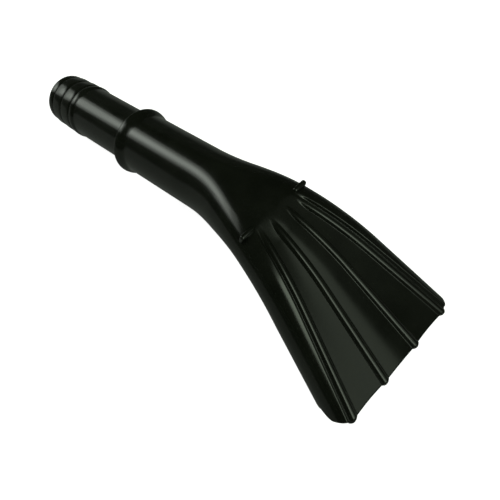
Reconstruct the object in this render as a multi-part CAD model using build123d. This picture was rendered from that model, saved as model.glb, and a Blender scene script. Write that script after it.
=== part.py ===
from build123d import *
from math import asin, atan2, cos, degrees, pi, radians, sin, sqrt
import os

os.makedirs("parts", exist_ok=True)

# Cuff, barrel and stop collar, in mm
BARREL_D = 38.1
BARREL_WALL = 2.85
CUFF_RUN = 93.7
BAND_RUN = 6.2
BAND_INSET = 0.4
BAND_ROUND = 1.2
RING_COUNT = 3
RING_PITCH = 11.4
RING_RISE = 1.05
RING_STEP = 0.35
RING_EDGE = 2.4
GROOVE_DEPTH = 0.7
LEAD_LAND = 1.2
LEAD_STEP = 3.4
COLLAR_RISE = 2.5
COLLAR_RUN = 9.6
COLLAR_SINK = 0.6
COLLAR_LIP = 1.6

# Tube, and the bend of its top line
TUBE_D = 43.0
WALL = 2.5
DUCT_START = 2.3
TUBE_RUN = 76.0
BEND_R = 141.0
BEND_DEG = 45.2
FAN_RUN = 69.0

# Flare to the mouth
MOUTH_W = 116.4
MOUTH_DEPTH = 24.4
NECK_DEPTH = 29.8
NECK_START = 80.0
NECK_END = 133.0
FLARE_START = 81.0
FLARE_EASE = 15.0
CORNER_R = 16.0
SCALLOP = 0.9

# Let-in face of the fan and its ribs
RECESS_AT = 132.0
RECESS_DEPTH = 2.2
RECESS_HEAD_W = 42.0
RECESS_MOUTH_W = 105.0
RIB_HEAD = (6.2, 15.4)
RIB_MOUTH = (15.9, 46.6)
RIB_HEAD_R = 2.6
RIB_MOUTH_R = 3.6
RIB_HEAD_SINK = 0.7
RIB_REACH = 1.5

# Cross bars on the shoulders
BAR_AT = 131.0
BAR_IN = 18.0
BAR_OUT = 29.0
BAR_THICK = 3.2
BAR_RISE = 0.5
BAR_ROUND = 0.9

# Values that follow
BEND = radians(BEND_DEG)
TUBE_R = TUBE_D / 2
MOUTH_AT = TUBE_RUN + BEND_R * BEND + FAN_RUN
FLARE = (MOUTH_W / 2 - TUBE_R) / (MOUTH_AT - FLARE_START)
OVERRUN = 14.0
TIP_SHARE = 1.03
SEAT_AT = COLLAR_RUN / 2
STATIONS = 24
FAN_STATIONS = 14
RIB_STATIONS = 9
STEPS = 16


def path(s):
    """Plane across the nozzle on its top line, at a run of s from the collar."""
    turn = min(max((s - TUBE_RUN) / BEND_R, 0), BEND)
    past = max(s - TUBE_RUN - BEND_R * BEND, 0)
    y = -min(s, TUBE_RUN) - BEND_R * sin(turn) - past * cos(turn)
    z = TUBE_R - BEND_R * (1 - cos(turn)) - past * sin(turn)
    return Plane(origin=(0, y, z), x_dir=(1, 0, 0), z_dir=(0, -cos(turn), -sin(turn)))


def eased(value, start, end):
    """Share from 0 to 1 that starts and ends level."""
    share = min(max((value - start) / (end - start), 0), 1)
    return share * share * (3 - 2 * share)


def half_width(s):
    """Half width: the tube, then a straight flare that starts softly."""
    run = s - FLARE_START
    soft = min(max(run + FLARE_EASE, 0), 2 * FLARE_EASE)
    return TUBE_R + FLARE * (soft * soft / (4 * FLARE_EASE) + max(run - FLARE_EASE, 0))


def half_depth(s):
    """Half depth: the tube, then a flattened neck that thins to the mouth."""
    thin = (s - NECK_END) / (MOUTH_AT - NECK_END)
    taper = (NECK_DEPTH + (MOUTH_DEPTH - NECK_DEPTH) * thin) / 2
    return TUBE_R + (taper - TUBE_R) * eased(s, NECK_START, NECK_END)


def rise(reach, wide, high):
    """Height of a section over its middle, round at a tube and flat at the fan."""
    return high * sqrt(max(1 - abs(reach / wide) ** (2 * wide / high), 0))


def arch(wide, high, mid, up):
    """Upper or lower half of a section."""
    points = []
    for i in range(STEPS + 1):
        reach = wide * sin(pi * (i / STEPS - 0.5))
        points.append((up * reach, mid + up * rise(reach, wide, high), 0))
    even = [i / STEPS for i in range(STEPS + 1)]
    steep = up * pi * sqrt(wide * high)
    return Edge.make_spline(points, tangents=[(0, steep, 0), (0, -steep, 0)], parameters=even, scale=False)


def section(s, side, top, bottom):
    """Section at s, drawn in from the outside by side, top and bottom."""
    wide = half_width(s) - side
    high = half_depth(s) - (top + bottom) / 2
    mid = -half_depth(s) - (top - bottom) / 2
    return path(s) * Face(Wire([arch(wide, high, mid, 1), arch(wide, high, mid, -1)]))


def duct_section(s):
    """Section of the hollow, one wall inside the outside or the let-in face."""
    return section(s, WALL, WALL + RECESS_DEPTH * eased(s, NECK_START, RECESS_AT), WALL)


def pocket_section(s):
    """Section of the space over the let-in face, down to the middle of the fan."""
    share = (s - RECESS_AT) / (MOUTH_AT - RECESS_AT)
    wide = RECESS_HEAD_W + (RECESS_MOUTH_W - RECESS_HEAD_W) * share
    deep = half_depth(s)
    return path(s) * Pos(0, (OVERRUN - deep) / 2) * Rectangle(wide, OVERRUN + deep)


def rib_radius(s):
    """Radius of a rib, growing to the mouth."""
    return RIB_HEAD_R + (RIB_MOUTH_R - RIB_HEAD_R) * (s - RECESS_AT) / (MOUTH_AT - RECESS_AT)


def rib_centre(s, head_x, mouth_x):
    """Centre of a rib in its plane, with the crest level with the neck."""
    share = (s - RECESS_AT) / (MOUTH_AT - RECESS_AT)
    x = head_x + (mouth_x - head_x) * share
    crest = rise(x, half_width(s), half_depth(s)) - half_depth(s)
    return (x, crest - rib_radius(s) - RIB_HEAD_SINK * (1 - share))


def rib_section(s, head_x, mouth_x):
    """Round section of a rib."""
    return path(s) * Pos(*rib_centre(s, head_x, mouth_x)) * Circle(rib_radius(s))


def stations(start, end, count):
    """Evenly spaced runs from start to end."""
    return [start + (end - start) * i / count for i in range(count + 1)]


# Turned profile of the collar, barrel, rings and end band, as radius and run to the cuff
barrel_r = BARREL_D / 2
collar_r = TUBE_R + COLLAR_RISE
band_r = barrel_r - BAND_INSET
band_from = CUFF_RUN - BAND_RUN
groove_y = band_from - (RING_COUNT - 1) * RING_PITCH
crests = [barrel_r + RING_RISE - i * RING_STEP for i in range(RING_COUNT)]
collar_foot = (TUBE_R - COLLAR_SINK, -COLLAR_RUN)
collar_mid = (TUBE_R + COLLAR_RISE / 2, -COLLAR_RUN / 2)
lead_top = (crests[0], groove_y - RING_EDGE - LEAD_LAND)
lead_foot = (barrel_r, lead_top[1] - LEAD_STEP)
profile = [
    Line((0, -COLLAR_RUN), collar_foot),
    ThreePointArc(collar_foot, collar_mid, (collar_r, 0)),
    TangentArc((collar_r, 0), (collar_r - COLLAR_LIP, COLLAR_LIP), tangent=(0, 1)),
    Line((collar_r - COLLAR_LIP, COLLAR_LIP), (barrel_r, COLLAR_LIP)),
    Line((barrel_r, COLLAR_LIP), lead_foot),
    TangentArc(lead_top, lead_foot, tangent=(0, -1)),
]
low = lead_top
for crest, following in zip(crests, crests[1:] + [band_r]):
    high = (crest, groove_y - RING_EDGE)
    groove = (following - GROOVE_DEPTH, groove_y)
    rise_to = (following, groove_y + RING_EDGE)
    profile.append(Line(low, high))
    profile.append(TangentArc(high, groove, tangent=(0, 1)))
    profile.append(TangentArc(rise_to, groove, tangent=(0, -1)))
    low = rise_to
    groove_y += RING_PITCH
profile.append(Line(low, (band_r, CUFF_RUN - BAND_ROUND)))
profile.append(TangentArc((band_r, CUFF_RUN - BAND_ROUND), (band_r - BAND_ROUND, CUFF_RUN), tangent=(0, 1)))
profile.append(Line((band_r - BAND_ROUND, CUFF_RUN), (0, CUFF_RUN)))
profile.append(Line((0, CUFF_RUN), (0, -COLLAR_RUN)))
cuff = revolve(make_face(Wire(profile)), Axis.Y)

# Smooth outside of the tube, neck and fan
runs = stations(SEAT_AT, MOUTH_AT + OVERRUN, STATIONS)
outside = loft([section(s, 0, 0, 0) for s in runs])

# Face of the fan, let in below the neck and between the side edges
floor_runs = stations(RECESS_AT - OVERRUN, MOUTH_AT + OVERRUN, FAN_STATIONS)
floor = loft([section(s, RECESS_DEPTH, RECESS_DEPTH, RECESS_DEPTH) for s in floor_runs])
pocket_runs = stations(RECESS_AT, MOUTH_AT + 2 * OVERRUN, FAN_STATIONS)
pocket = loft([pocket_section(s) for s in pocket_runs])
body = (outside - pocket) + floor

# Mouth cut square, with rounded corners
mouth = Plane(origin=path(MOUTH_AT).origin, x_dir=(1, 0, 0), z_dir=path(MOUTH_AT).y_dir)
corner_x = MOUTH_W / 2 + 1 - CORNER_R
beyond = MOUTH_W
keep = Pos(0, beyond / 2) * Rectangle(2 * (corner_x + CORNER_R), beyond)
keep = fillet(keep.vertices().sort_by(Axis.Y)[:2], CORNER_R)
waste = Rectangle(2 * beyond, 2 * CORNER_R + 2 * OVERRUN) - keep
body -= mouth * extrude(waste, amount=2 * MOUTH_DEPTH, both=True)

# Shallow scallops right through both lips, between the ribs
lip_x = [-RIB_MOUTH[1], -RIB_MOUTH[0], RIB_MOUTH[0], RIB_MOUTH[1]]
for left, right in zip(lip_x[:-1], lip_x[1:]):
    bite = ThreePointArc((left, 0), ((left + right) / 2, SCALLOP), (right, 0))
    bite = make_face([bite, Line((right, 0), (left, 0))])
    body -= mouth * extrude(bite, amount=2 * MOUTH_DEPTH, both=True)

# Half-round ribs with rounded tips
tip_at = MOUTH_AT + RIB_REACH - RIB_MOUTH_R
for head_x, mouth_x in zip(RIB_HEAD, RIB_MOUTH):
    rib = loft([rib_section(s, head_x, mouth_x) for s in stations(RECESS_AT - 2, tip_at, RIB_STATIONS)])
    tip = path(tip_at) * Pos(*rib_centre(tip_at, head_x, mouth_x)) * Sphere(TIP_SHARE * RIB_MOUTH_R)
    body = body + rib + tip
    body = body + mirror(rib, about=Plane.YZ) + mirror(tip, about=Plane.YZ)

# Cross bars on the shoulders
bar = Box(BAR_OUT - BAR_IN, BAR_THICK, NECK_DEPTH / 2)
bar = fillet(bar.edges(), BAR_ROUND)
bar = path(BAR_AT) * Pos((BAR_IN + BAR_OUT) / 2, BAR_RISE - NECK_DEPTH / 4, 0) * Rot(90, 0, 0) * bar
body = body + bar + mirror(bar, about=Plane.YZ)

# Hollow: the cuff bore, then one smooth duct from the collar to the mouth
body = body + cuff
duct_runs = stations(DUCT_START, MOUTH_AT + OVERRUN, STATIONS)
duct = loft([duct_section(s) for s in duct_runs])
bore_run = CUFF_RUN + COLLAR_RUN
bore = Pos(0, CUFF_RUN - bore_run / 2, 0) * Rot(90, 0, 0) * Cylinder(barrel_r - BARREL_WALL, bore_run)
body = body - duct - bore

# Rest on the cuff edge and the lower lip
lip = path(MOUTH_AT).from_local_coords((0, -2 * half_depth(MOUTH_AT), 0))
edge_y = CUFF_RUN - BAND_ROUND - lip.Y
edge_z = BAND_ROUND - band_r - lip.Z
tilt = atan2(edge_z, edge_y) - asin(BAND_ROUND / sqrt(edge_y ** 2 + edge_z ** 2))
body = Rot(-degrees(tilt), 0, 0) * body
box = body.bounding_box()
nozzle = Pos(0, -(box.min.Y + box.max.Y) / 2, -box.min.Z) * body
export_step(nozzle, "parts/nozzle_body.step")
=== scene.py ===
from math import pi, radians

import bmesh
import bpy
import numpy as np
from mathutils import Matrix, Vector


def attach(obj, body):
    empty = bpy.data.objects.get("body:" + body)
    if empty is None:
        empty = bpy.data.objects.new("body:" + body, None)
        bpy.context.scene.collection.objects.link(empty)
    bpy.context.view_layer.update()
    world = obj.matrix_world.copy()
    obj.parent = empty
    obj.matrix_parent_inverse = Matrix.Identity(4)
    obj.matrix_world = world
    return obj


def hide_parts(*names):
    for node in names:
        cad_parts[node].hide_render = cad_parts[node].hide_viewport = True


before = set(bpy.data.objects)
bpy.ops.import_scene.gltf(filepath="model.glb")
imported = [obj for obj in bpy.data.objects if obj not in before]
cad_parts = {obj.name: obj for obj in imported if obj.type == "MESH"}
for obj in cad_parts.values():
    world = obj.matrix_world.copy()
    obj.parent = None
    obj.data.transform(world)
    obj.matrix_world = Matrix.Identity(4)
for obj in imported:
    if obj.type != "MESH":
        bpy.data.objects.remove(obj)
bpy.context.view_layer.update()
MM = 0.001

# Cuff, barrel and stop collar, in mm
BARREL_R = 19.05
BORE_R = 16.2
CUFF_RUN = 93.7
RIM_ROUND = 1.5
BORE_ROUND = 0.6
BAND_R = 18.65
RING_R = (20.1, 19.75, 19.4)
GROOVE_AT = (64.7, 76.1, 87.5)
GROOVE_DEPTH = 0.75
RING_EDGE = 2.4
LEAD_LAND = 1.2
LEAD_STEP = 3.4
COLLAR_R = 24.0
COLLAR_LIP = 1.6
COLLAR_RUN = 8.6
COLLAR_HEEL = 0.5
COLLAR_GAP = 1.2
BARREL_GAP = 3.0

# Tube and the bend of its top line
TUBE_R = 21.5
WALL = 2.5
DUCT_START = 2.3
STEP_ROUND = 0.5
BORE_LEAD = 4.0
TUBE_RUN = 76.0
BEND_R = 141.0
BEND = radians(45.2)
FAN_RUN = 68.2
MOUTH_AT = TUBE_RUN + BEND_R * BEND + FAN_RUN

# Flare to the mouth
MOUTH_W = 116.4
MOUTH_DEPTH = 24.4
NECK_DEPTH = 29.8
NECK_START = 80.0
NECK_END = 133.0
FLARE_START = 81.0
FLARE_EASE = 15.0
FLARE = (MOUTH_W / 2 - TUBE_R) / (MOUTH_AT - FLARE_START)

# Corners of the mouth, each pair first for the top and then for the side, and the scallops
CORNER_R = (16.0, 18.0)
CORNER_X = (43.2, 36.1)
CORNER_SIDE = (0.6, 1.3)
CORNER_REACH = 46.0
CORNER_TRIES = 24
SCALLOP = 0.6

# Let-in face of the fan and its ribs, each as a value at the head and one at the mouth
RECESS_AT = 132.0
RECESS_DEPTH = 2.2
RECESS_HALF = (19.5, 52.3)
RECESS_SOFT = 2.6
RECESS_HEAD = (128.5, 147.0)
PANEL_CROWN = (0.8, -0.4)
SHOULDER = 3.5
RIBS = ((6.2, 15.9), (15.4, 46.6))
RIB_R = (2.6, 3.6)
RIB_SINK = 0.7
RIB_FILLET = 0.5
RIB_REACH = 1.6
TIP_AT = MOUTH_AT + RIB_REACH - RIB_R[1]
LIP_BACK = MOUTH_AT - TIP_AT
LIP_SQUARE = 5.0

# Cross bars on the shoulders
BAR_AT = 131.0
BAR_X = (18.0, 28.6)
BAR_THICK = 3.4
BAR_RISE = 0.5
BAR_ROUND = 1.5

# Place of the moulding on the floor
TILT = radians(12.70809)
REST_Y = 69.5504
REST_Z = 38.5711

# Camera, in mm and in pixels of the photo's frame
CAMERA_AT = (-153.31, -169.62, 353.60)
CAMERA_AIM = (-9.30, -44.96, 30.0)
CAMERA_ROLL = 2.22
CAMERA_FOCUS_PX = 570.0
FRAME_PX = 500.0
SENSOR_MM = 36.0


def eased(value, start, end):
    """Share from 0 to 1 that starts and ends level."""
    share = np.clip((value - start) / (end - start), 0, 1)
    return share * share * (3 - 2 * share)


def bowed(value, start, end):
    """Share that is 0 at the start and the end, and 1 midway."""
    share = np.clip((value - start) / (end - start), 0, 1)
    return 4 * share * (1 - share)


def fan_share(s):
    """Share of the way from the head of the ribs to the mouth."""
    return (s - RECESS_AT) / (MOUTH_AT - RECESS_AT)


def spread(pair, s):
    """Value that runs straight from the head of the ribs to the mouth, and is level before the head."""
    return pair[0] + (pair[1] - pair[0]) * np.maximum(fan_share(s), 0)


def half_width(s):
    """Half width: the tube, then a straight flare that starts softly."""
    run = s - FLARE_START
    soft = np.clip(run + FLARE_EASE, 0, 2 * FLARE_EASE)
    return TUBE_R + FLARE * (soft * soft / (4 * FLARE_EASE) + np.maximum(run - FLARE_EASE, 0))


def half_depth(s):
    """Half depth: the tube, then a flattened neck that thins to the mouth."""
    thin = (s - NECK_END) / (MOUTH_AT - NECK_END)
    taper = (NECK_DEPTH + (MOUTH_DEPTH - NECK_DEPTH) * thin) / 2
    return TUBE_R + (taper - TUBE_R) * eased(s, NECK_START, NECK_END)


def rise(reach, wide, high):
    """Height of a section over its middle, round at the tube and flat at the fan."""
    return high * np.sqrt(np.maximum(1 - np.abs(reach / wide) ** (2 * wide / high), 0))


def at_path(s, x, local):
    """Points at a run of s, x across and local above the top line, in the barrel's frame."""
    turn = np.clip((s - TUBE_RUN) / BEND_R, 0, BEND)
    past = np.maximum(s - TUBE_RUN - BEND_R * BEND, 0)
    y = -np.minimum(s, TUBE_RUN) - BEND_R * np.sin(turn) - past * np.cos(turn)
    z = TUBE_R - BEND_R * (1 - np.cos(turn)) - past * np.sin(turn)
    return np.stack([x, y - local * np.sin(turn), z + local * np.cos(turn)], -1)


def to_rest(points):
    """Points of the barrel's frame where the moulding lies, in metres."""
    x, y, z = points[..., 0], points[..., 1], points[..., 2]
    c, s = np.cos(TILT), np.sin(TILT)
    return np.stack([x, c * y + s * z + REST_Y, c * z - s * y + REST_Z], -1) * MM


def soft_max(a, b, k):
    """Larger of two heights, with a fillet of about k where they meet."""
    near = np.maximum(k - np.abs(a - b), 0) / k
    return np.maximum(a, b) + near * near * k / 4


# Columns of half the skin, from the middle of the top round to the middle of the underside
SIDE_STEPS = 15
LOW_STEPS = 30
SEAM_ANGLE = 0.02
RIB_FOOT = 1.25
EDGE_PAST = 0.2

# Rows of the skin, and steps of the rounded edges
TUBE_ROWS = 48
HEAD_ROWS = 36
FAN_ROWS = 54
DUCT_ROWS = 72
LIP_ROWS = 17
BORE_ROWS = 16
BARREL_ROWS = 14
SLOPE_ROWS = 13
LEAD_ROWS = 9
ROUND_STEPS = 7
GROOVE_SHARES = (0, 0.2, 0.4, 0.58, 0.72, 0.83, 0.91, 0.96)


def knot_x(knot, s):
    """Place across of a knot: a rib with an offset in rib radii, or the edge with one in its softness."""
    name, offset = knot
    if name == "middle":
        return np.zeros_like(s)
    if name == "edge":
        return spread(RECESS_HALF, s) - offset * RECESS_SOFT
    return spread(RIBS[name], s) + offset * spread(RIB_R, s)


def top_columns():
    """Pairs of knots with shares between them, from the middle to the edge of the let-in face."""
    bow = np.sin(np.linspace(0, pi / 2, 9))
    columns = []

    def between(low, high, shares):
        columns.extend((low, high, share) for share in shares)

    start = ("middle", 0)
    for rib in range(len(RIBS)):
        between(start, (rib, -RIB_FOOT), np.linspace(0, 1, 7)[:-1])
        between((rib, -RIB_FOOT), (rib, -1), np.linspace(0, 1, 4)[:-1])
        between((rib, 0), (rib, -1), bow[:0:-1])
        between((rib, 0), (rib, 1), bow[:-1])
        if rib < len(RIBS) - 1:
            between((rib, 1), (rib, RIB_FOOT), np.linspace(0, 1, 4)[:-1])
            start = (rib, RIB_FOOT)
    between((rib, 1), ("edge", -EDGE_PAST), np.linspace(0, 1, 15))
    return columns


TOP = top_columns()
COLUMNS = len(TOP) + SIDE_STEPS + 1 + LOW_STEPS
UPPER = np.arange(COLUMNS) <= len(TOP) + SIDE_STEPS


def shares(s, wide_at):
    """Place across of every column as a share of the half width; s has one row a station."""
    held = np.maximum(s, RECESS_AT)
    wide = wide_at(held)
    top = []
    for j, (low, high, share) in enumerate(TOP):
        a, b = knot_x(low, held[:, j]), knot_x(high, held[:, j])
        top.append((a + (b - a) * share) / wide[:, j])
    top = np.stack(top, -1)
    last = np.arcsin(top[:, -1:])
    steps = np.linspace(0, 1, SIDE_STEPS + 1)[1:]
    side = np.sin(last + (pi / 2 - SEAM_ANGLE - last) * steps)
    seam = np.ones((len(s), 1))
    low = np.cos(np.linspace(SEAM_ANGLE, pi / 2, LOW_STEPS))
    return np.concatenate([top, side, seam, np.broadcast_to(low, (len(s), LOW_STEPS))], 1)


def outer_points(s):
    """Outside of the tube, neck and fan with the let-in face and the ribs."""
    wide, deep = half_width(s), half_depth(s)
    x = shares(s, half_width) * wide
    square = 2 * wide / deep + SHOULDER * np.clip(fan_share(s), 0, 1)
    skin = deep * np.sqrt(np.maximum(1 - (x / wide) ** square, 0)) - deep
    head = eased(s, *RECESS_HEAD)
    inset = spread(RECESS_HALF, s) - x
    top = skin - RECESS_DEPTH * head * eased(inset, 0, RECESS_SOFT)
    left = -spread(RIBS[0], s)
    for rib, crown in zip(RIBS, PANEL_CROWN):
        right = spread(rib, s)
        top = top + crown * head * bowed(x, left, right)
        left = right
    for rib in RIBS:
        centre, radius = spread(rib, s), spread(RIB_R, s)
        crest = rise(centre, wide, deep) - deep - RIB_SINK * (1 - np.clip(fan_share(s), 0, 1))
        off = np.minimum(np.abs(x - centre) / radius, 1)
        round_top = crest - radius + radius * np.sqrt(1 - off * off)
        started = s > RECESS_AT - RECESS_SOFT
        top = np.where(started & (off < 1), soft_max(top, round_top, RIB_FILLET), top)
    bottom = -rise(x, wide, deep) - deep
    return x, np.where(UPPER, top, bottom)


def duct_width(s):
    """Half width of the hollow."""
    return half_width(s) - WALL


def inner_points(s):
    """Inside of the tube, neck and fan, one wall within the outside or the let-in face."""
    lid = WALL + RECESS_DEPTH * eased(s, NECK_START, RECESS_AT)
    wide, deep = duct_width(s), half_depth(s)
    high = deep - (lid + WALL) / 2
    mid = -deep - (lid - WALL) / 2
    x = shares(s, duct_width) * wide
    return x, mid + np.where(UPPER, 1, -1) * rise(x, wide, high)


def corner_round(x, start, radius):
    """How far a corner that starts to turn at a place across is drawn back by its rounding."""
    past = np.clip(x - start, 0, radius)
    return radius - np.sqrt(radius ** 2 - past ** 2)


def corner_pull(points):
    """How far each column stops short of the mouth: rounded corners, and scallops between the ribs."""
    low, high = np.zeros((1, COLUMNS)), np.full((1, COLUMNS), max(CORNER_R))
    for _ in range(CORNER_TRIES):
        pull = (low + high) / 2
        x, local = points(MOUTH_AT - pull)
        side = eased(-local / half_depth(MOUTH_AT - pull), *CORNER_SIDE)
        upper, lower = (corner_round(x, start, radius) for start, radius in zip(CORNER_X, CORNER_R))
        short = upper + (lower - upper) * side > pull
        low, high = np.where(short, pull, low), np.where(short, high, pull)
    left = -RIBS[0][1]
    for _, right in RIBS:
        pull = pull + SCALLOP * bowed(x, left, right)
        left = right
    return pull[0]


def pulled(runs, pull):
    """Runs of every column, drawn back to the mouth's corners over the last stretch."""
    runs = np.asarray(runs, float)[:, None]
    return runs - pull * eased(runs, MOUTH_AT - CORNER_REACH, MOUTH_AT - LIP_BACK)


def lip_points(pull_out, pull_in, turns):
    """Rounded lip from the outside to the hollow, with the rounded tips of the ribs."""
    back = np.full((1, COLUMNS), MOUTH_AT - LIP_BACK)
    x, local = outer_points(back - pull_out)
    outside = at_path(back - pull_out, x, local)
    inside = at_path(back - pull_in, *inner_points(back - pull_in))
    thick = np.linalg.norm(outside - inside, axis=-1)[0]
    rows = []
    for turn in turns:
        ahead, down = np.cos(turn), np.sin(turn)
        flat = (ahead / LIP_BACK) ** LIP_SQUARE + (abs(down) / (thick / 2)) ** LIP_SQUARE
        reach = flat ** (-1 / LIP_SQUARE)
        for rib in RIBS:
            off = np.minimum(np.abs(x[0] - spread(rib, MOUTH_AT - LIP_BACK)) / RIB_R[1], 1)
            ball = RIB_R[1] * np.sqrt(1 - off * off)
            below = ball - thick / 2
            along = ahead * pull_out + down * below
            root = along ** 2 - pull_out ** 2 - below ** 2 + ball ** 2
            dome = along + np.sqrt(np.maximum(root, 0))
            reach = np.where(UPPER & (off < 1) & (root > 0), np.maximum(reach, dome), reach)
        if down > 0:
            reach = np.minimum(reach, thick / 2 / down)
        depth = np.clip(0.5 + reach * down / thick, 0, 1)[None]
        s_out = back - pull_out + reach * ahead
        s_in = back - pull_in + reach * ahead
        outside = at_path(s_out, *outer_points(s_out))
        inside = at_path(s_in, *inner_points(s_in))
        rows.append((outside + (inside - outside) * depth[..., None])[0])
    return np.stack(rows)


def ring_profile():
    """Outline of the cuff as radius and run, from the edge of the bore to the foot of the collar."""
    quarter = np.linspace(0, pi / 2, ROUND_STEPS)
    outline = [(BORE_R + BORE_ROUND, CUFF_RUN)]
    for a in quarter:
        outline.append((BAND_R - RIM_ROUND * (1 - np.sin(a)), CUFF_RUN - RIM_ROUND * (1 - np.cos(a))))
    gaps = RING_EDGE * (1 - np.array(GROOVE_SHARES))
    falls = (1 - gaps / RING_EDGE) ** 2
    crests = RING_R + (BAND_R,)
    for i in range(len(GROOVE_AT) - 1, -1, -1):
        low = crests[i + 1] - GROOVE_DEPTH
        for gap, fall in zip(gaps, falls):
            outline.append((crests[i + 1] - GROOVE_DEPTH * fall, GROOVE_AT[i] + gap))
        outline.append((low, GROOVE_AT[i]))
        for gap, fall in zip(gaps[::-1], falls[::-1]):
            outline.append((crests[i] - (crests[i] - low) * fall, GROOVE_AT[i] - gap))
    lead = GROOVE_AT[0] - RING_EDGE - LEAD_LAND
    for t in np.linspace(0, 1, LEAD_ROWS):
        outline.append((RING_R[0] + (BARREL_R - RING_R[0]) * eased(t, 0, 1), lead - LEAD_STEP * t))
    plain = np.linspace(lead - LEAD_STEP - BARREL_GAP, COLLAR_LIP + COLLAR_GAP, BARREL_ROWS)
    outline += [(BARREL_R, y) for y in plain]
    for a in quarter:
        up, back = COLLAR_HEEL * (1 - np.cos(a)), COLLAR_HEEL * (1 - np.sin(a))
        outline.append((BARREL_R + up, COLLAR_LIP + back))
    outline += [(COLLAR_R - COLLAR_LIP * (1 - np.sin(a)), COLLAR_LIP * np.cos(a)) for a in quarter]
    for t in np.linspace(0, 1, SLOPE_ROWS + 1)[1:]:
        outline.append((COLLAR_R + (TUBE_R - COLLAR_R) * eased(t, 0, 1), -COLLAR_RUN * t))
    return np.array(outline)


def turned(outline):
    """Rows of points round the barrel's axis for an outline of radius and run."""
    share = shares(np.full((1, COLUMNS), RECESS_AT), half_width)[0]
    height = np.where(UPPER, 1, -1) * np.sqrt(np.maximum(1 - share * share, 0))
    radius, run = outline[:, :1], outline[:, 1:]
    return np.stack([radius * share, run + 0 * share, radius * height], -1)


def skin_points():
    """Rows of points of half the skin: outside from the cuff to the mouth, the lip, and back inside."""
    pull_out = corner_pull(outer_points)
    pull_in = corner_pull(inner_points)
    head_start, head_end = RECESS_HEAD
    tube = np.linspace(COLLAR_RUN + 2, head_start - 2, TUBE_ROWS)
    head = np.linspace(head_start - 1, head_end + 1, HEAD_ROWS)
    fan = np.linspace(head_end + 2.5, MOUTH_AT - LIP_BACK, FAN_ROWS)
    runs_out = pulled(np.concatenate([tube, head, fan]), pull_out)
    runs_in = pulled(np.linspace(MOUTH_AT - LIP_BACK, DUCT_START, DUCT_ROWS), pull_in)
    turns = np.linspace(-pi / 2, pi / 2, LIP_ROWS + 2)[1:-1]
    bore = [(TUBE_R - WALL - STEP_ROUND, -DUCT_START)]
    bore += [(BORE_R + STEP_ROUND, -DUCT_START), (BORE_R, STEP_ROUND - DUCT_START)]
    bore += [(BORE_R, y) for y in np.linspace(BORE_LEAD, CUFF_RUN - BORE_ROUND, BORE_ROWS)]
    return np.concatenate([
        turned(ring_profile()),
        at_path(runs_out, *outer_points(runs_out)),
        lip_points(pull_out, pull_in, turns),
        at_path(runs_in, *inner_points(runs_in)),
        turned(np.array(bore)),
    ])


def add_mesh(name, points, faces):
    """New smooth mesh object."""
    mesh = bpy.data.meshes.new(name)
    mesh.from_pydata([tuple(p) for p in points], [], faces)
    mesh.validate()
    mesh.polygons.foreach_set("use_smooth", [True] * len(mesh.polygons))
    piece = bpy.data.objects.new(name, mesh)
    bpy.context.scene.collection.objects.link(piece)
    return piece


def make_skin():
    """The whole moulding as one closed skin of four-sided faces."""
    half = skin_points()
    other = half[:, -2:0:-1] * np.array([-1, 1, 1])
    rows = to_rest(np.concatenate([half, other], 1))
    count, around = rows.shape[:2]
    index = np.arange(count * around).reshape(count, around)
    after, beside = np.roll(index, -1, 0), np.roll(index, -1, 1)
    corner = np.roll(after, -1, 1)
    faces = np.stack([index, after, corner, beside], -1).reshape(-1, 4)
    return add_mesh("nozzle_skin", rows.reshape(-1, 3), faces.tolist())


# Rounding steps of the cross bars
BAR_STEPS = 5


def make_bar(side):
    """Rounded bar on one shoulder."""
    shape = bmesh.new()
    bmesh.ops.create_cube(shape, size=1)
    size = Vector((BAR_X[1] - BAR_X[0], NECK_DEPTH / 2, BAR_THICK))
    bmesh.ops.scale(shape, vec=size, verts=shape.verts)
    edges = shape.edges[:]
    bmesh.ops.bevel(shape, geom=edges, offset=BAR_ROUND, segments=BAR_STEPS, profile=0.5, affect="EDGES")
    co = np.array([v.co for v in shape.verts])
    faces = [[v.index for v in f.verts] for f in shape.faces]
    shape.free()
    x = side * (co[:, 0] + (BAR_X[0] + BAR_X[1]) / 2)
    local = co[:, 1] + BAR_RISE - NECK_DEPTH / 4
    points = at_path(np.full(len(co), BAR_AT), x, local)
    middle = at_path(np.array([BAR_AT]), np.zeros(1), np.zeros(1))[0]
    ahead = at_path(np.array([BAR_AT + 0.01]), np.zeros(1), np.zeros(1))[0] - middle
    points = points + co[:, 2:] * ahead / np.linalg.norm(ahead)
    if side < 0:
        faces = [f[::-1] for f in faces]
    return add_mesh("bar_left" if side < 0 else "bar_right", to_rest(points), faces)


# Plastic: the scales of its grain and of its soft clouds, its two shades and its roughness
GRAIN_SCALE = 2200
GRAIN_DETAIL = 3
GRAIN_BUMP = 0.06
GRAIN_HEIGHT = 0.0001
CLOUD_SCALE = 60
CLOUD_DETAIL = 4
SHADES = ((0.35, (0.0032, 0.0041, 0.0024, 1)), (0.70, (0.0050, 0.0062, 0.0038, 1)))
ROUGHNESS = (0.15, 0.20)
PLASTIC_IOR = 1.5


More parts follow.
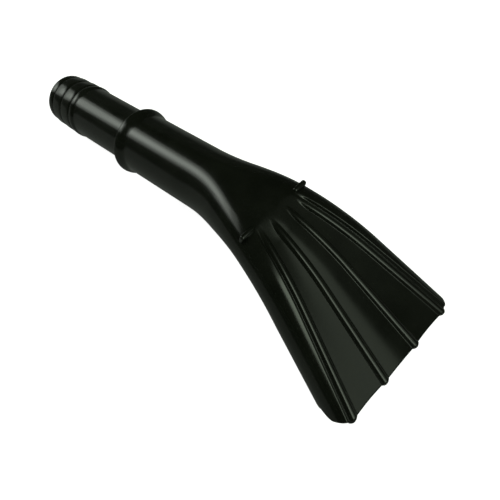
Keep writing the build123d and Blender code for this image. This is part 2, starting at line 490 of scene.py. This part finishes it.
def plastic():
    """Near-black moulded plastic: satin, with a fine grain and slight changes of gloss."""
    material = bpy.data.materials.new("moulded_plastic")
    material.use_nodes = True
    nodes, links = material.node_tree.nodes, material.node_tree.links
    shader = nodes["Principled BSDF"]
    shader.inputs["IOR"].default_value = PLASTIC_IOR
    place = nodes.new("ShaderNodeTexCoord")
    grain = nodes.new("ShaderNodeTexNoise")
    grain.inputs["Scale"].default_value = GRAIN_SCALE
    grain.inputs["Detail"].default_value = GRAIN_DETAIL
    cloud = nodes.new("ShaderNodeTexNoise")
    cloud.inputs["Scale"].default_value = CLOUD_SCALE
    cloud.inputs["Detail"].default_value = CLOUD_DETAIL
    for texture in (grain, cloud):
        links.new(place.outputs["Object"], texture.inputs["Vector"])
    tint = nodes.new("ShaderNodeValToRGB")
    for stop, (position, shade) in zip(tint.color_ramp.elements, SHADES):
        stop.position = position
        stop.color = shade
    links.new(cloud.outputs["Fac"], tint.inputs["Fac"])
    links.new(tint.outputs["Color"], shader.inputs["Base Color"])
    gloss = nodes.new("ShaderNodeMapRange")
    gloss.inputs["To Min"].default_value, gloss.inputs["To Max"].default_value = ROUGHNESS
    links.new(cloud.outputs["Fac"], gloss.inputs["Value"])
    links.new(gloss.outputs["Result"], shader.inputs["Roughness"])
    bump = nodes.new("ShaderNodeBump")
    bump.inputs["Strength"].default_value = GRAIN_BUMP
    bump.inputs["Distance"].default_value = GRAIN_HEIGHT
    links.new(grain.outputs["Fac"], bump.inputs["Height"])
    links.new(bump.outputs["Normal"], shader.inputs["Normal"])
    return material


# Studio floor in metres, its paleness to the light and in the plastic, and its glow to each kind of ray
FLOOR_HUB = 0.05
FLOOR_R = 2.6
COVE_R = 0.9
COVE_STEPS = 9
WALL_TOP = 1.6
FLOOR_SIDES = 96
FLOOR_PALE = 0.9
FLOOR_MIRRORED = 0.35
FLOOR_GLOW = (("Is Camera Ray", 0.92), ("Is Transmission Ray", 0.92), ("Is Glossy Ray", 0.01))

# Lamps: azimuth and elevation in degrees, width and height in metres, and radiance
LAMP_AIM = (0, -0.03, 0.04)
LAMP_REACH = 1.2
KEY_COLOR = (0.92, 1.0, 0.90)
KEY_PLACE = (-19.8, 32.7)
KEY_ROLL = -33.8
KEY_LAYERS = (((0.18, 0.42), 4.2), ((0.34, 0.80), 2.8), ((0.58, 1.30), 1.2))
FRONT_COLOR = (0.86, 1.0, 0.79)
FRONT_LAMPS = (
    ("front_wide", (172.5, 46.0), (0.72, 1.35), 0.62),
    ("front_core", (191.0, 44.0), (0.46, 1.00), 2.4),
    ("front_card", (130.0, 45.0), (0.70, 0.90), 0.08),
)
ROOM_COLOR = (1.0, 1.0, 1.0)
ROOM_LAMP = ("room_lamp", (0.0, 90.0), (2.0, 2.0), 1.0)
ROOM_SHADE = (0.01, 0.01, 0.01, 1)


def make_floor():
    """Round pale floor with a cove."""
    turns = np.linspace(0, 2 * pi, FLOOR_SIDES + 1)[:-1]
    curve = np.linspace(0, pi / 2, COVE_STEPS)
    outline = [(FLOOR_HUB, 0), (FLOOR_R, 0)]
    outline += [(FLOOR_R + COVE_R * np.sin(a), COVE_R * (1 - np.cos(a))) for a in curve[1:]]
    outline.append((FLOOR_R + COVE_R, WALL_TOP))
    points = [(r * np.cos(a), r * np.sin(a), z) for r, z in outline for a in turns]
    faces = [list(range(FLOOR_SIDES))]
    for ring in range(len(outline) - 1):
        near, far = ring * FLOOR_SIDES, (ring + 1) * FLOOR_SIDES
        for i in range(FLOOR_SIDES):
            j = (i + 1) % FLOOR_SIDES
            faces.append([near + i, far + i, far + j, near + j])
    floor = add_mesh("studio_floor", points, faces)
    floor.data.materials.append(paper())


def paper():
    """Pale paper that looks white and keeps the shadow, and mirrors dimly in the plastic."""
    material = bpy.data.materials.new("studio_paper")
    material.use_nodes = True
    nodes, links = material.node_tree.nodes, material.node_tree.links
    nodes.clear()
    output = nodes.new("ShaderNodeOutputMaterial")
    sheet = nodes.new("ShaderNodeBsdfDiffuse")
    glow = nodes.new("ShaderNodeEmission")
    rays = nodes.new("ShaderNodeLightPath")
    shade = nodes.new("ShaderNodeMath")
    shade.operation = "MULTIPLY_ADD"
    shade.inputs[1].default_value = FLOOR_MIRRORED - FLOOR_PALE
    shade.inputs[2].default_value = FLOOR_PALE
    links.new(rays.outputs["Is Glossy Ray"], shade.inputs[0])
    links.new(shade.outputs[0], sheet.inputs["Color"])
    strength = None
    for ray, share in FLOOR_GLOW:
        part = nodes.new("ShaderNodeMath")
        part.operation = "MULTIPLY_ADD"
        part.inputs[1].default_value = share
        part.inputs[2].default_value = 0
        links.new(rays.outputs[ray], part.inputs[0])
        if strength:
            links.new(strength, part.inputs[2])
        strength = part.outputs[0]
    links.new(strength, glow.inputs["Strength"])
    both = nodes.new("ShaderNodeAddShader")
    links.new(sheet.outputs[0], both.inputs[0])
    links.new(glow.outputs[0], both.inputs[1])
    links.new(both.outputs[0], output.inputs["Surface"])
    return material


def place_facing(holder, at, aim, roll):
    """Put a lamp or camera at a point, facing another, with a roll in degrees."""
    turn = (aim - at).to_track_quat("-Z", "Y").to_matrix() @ Matrix.Rotation(radians(roll), 3, "Z")
    holder.matrix_world = Matrix.Translation(at) @ turn.to_4x4()


def add_lamp(color, name, place, size, radiance, roll=0.0):
    """Soft rectangular lamp at an azimuth from +Y to +X and an elevation in degrees, facing the nozzle."""
    lamp = bpy.data.lights.new(name, "AREA")
    lamp.shape = "RECTANGLE"
    lamp.size, lamp.size_y = size
    lamp.energy = pi * size[0] * size[1] * radiance
    lamp.color = color
    azimuth, elevation = radians(place[0]), radians(place[1])
    flat = np.cos(elevation)
    away = Vector((flat * np.sin(azimuth), flat * np.cos(azimuth), np.sin(elevation)))
    holder = bpy.data.objects.new(name, lamp)
    place_facing(holder, Vector(LAMP_AIM) + LAMP_REACH * away, Vector(LAMP_AIM), roll)
    bpy.context.scene.collection.objects.link(holder)
    return holder


def make_camera():
    """Camera at the photo's viewing angle."""
    data = bpy.data.cameras.new("camera")
    data.sensor_width = SENSOR_MM
    data.lens = SENSOR_MM * CAMERA_FOCUS_PX / FRAME_PX
    camera = bpy.data.objects.new("camera", data)
    place_facing(camera, Vector(CAMERA_AT) * MM, Vector(CAMERA_AIM) * MM, CAMERA_ROLL)
    bpy.context.scene.collection.objects.link(camera)
    bpy.context.scene.camera = camera


# The nozzle
finish = plastic()
skin = make_skin()
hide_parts("nozzle_body")
pieces = (skin, make_bar(-1), make_bar(1))
for piece in pieces:
    piece.data.materials.append(finish)
    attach(piece, "root")

# The studio; the room lamp lights the nozzle alone and leaves no highlight
make_floor()
for layer, (size, radiance) in enumerate(KEY_LAYERS):
    add_lamp(KEY_COLOR, "key_%d" % layer, KEY_PLACE, size, radiance, KEY_ROLL)
for lamp in FRONT_LAMPS:
    add_lamp(FRONT_COLOR, *lamp)
nozzle = bpy.data.collections.new("nozzle")
for piece in pieces:
    nozzle.objects.link(piece)
room_lamp = add_lamp(ROOM_COLOR, *ROOM_LAMP)
room_lamp.visible_glossy = False
room_lamp.light_linking.receiver_collection = nozzle
world = bpy.data.worlds.new("room")
bpy.context.scene.world = world
world.use_nodes = True
world.node_tree.nodes["Background"].inputs["Color"].default_value = ROOM_SHADE
make_camera()
bpy.context.scene.view_settings.view_transform = "Standard"
